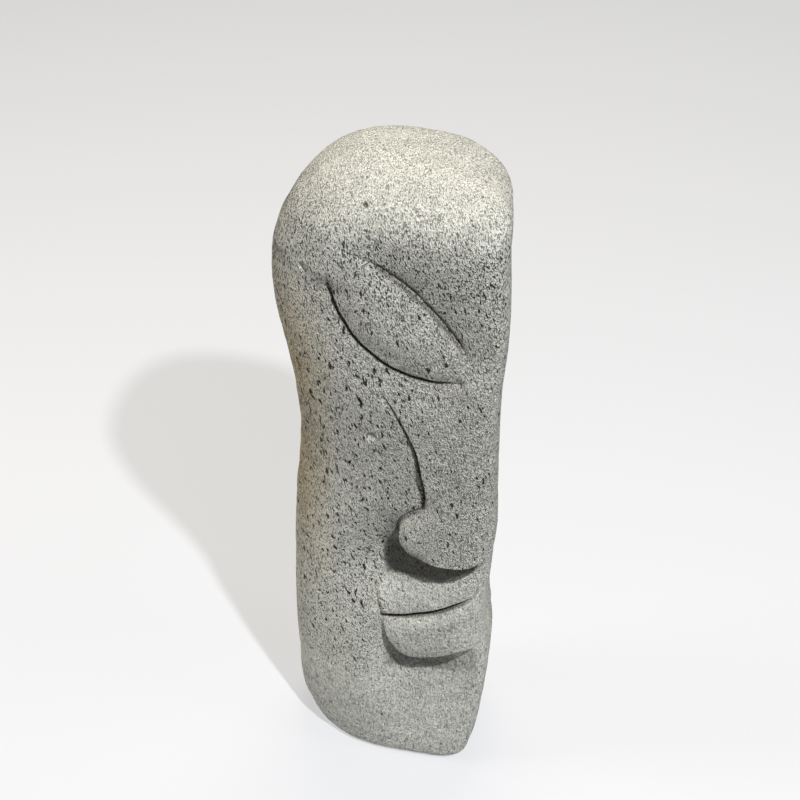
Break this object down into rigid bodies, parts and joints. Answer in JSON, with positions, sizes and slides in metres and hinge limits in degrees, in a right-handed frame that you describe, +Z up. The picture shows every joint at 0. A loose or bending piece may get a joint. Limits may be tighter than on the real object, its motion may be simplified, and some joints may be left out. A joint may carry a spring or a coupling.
{
  "type": "carved stone face sculpture",
  "caption": "Upright block of porous grey volcanic stone carved as an abstract half face with an almond eye, a long nose and frowning lips, standing on its flat underside.",
  "frame": {"origin": "centre of the bounding box, on the ground plane that the flat underside rests on", "axes": "+Z up along the block's height; -Y is the way the carved face looks; +X is the nose side and -X the temple side"},
  "size_m": [0.1394, 0.1046, 0.4425],
  "materials": {
    "stone": "matte, rough and porous"
  },
  "bodies": {
    "root": {"stone_face": "stone"}
  },
  "joints": []
}
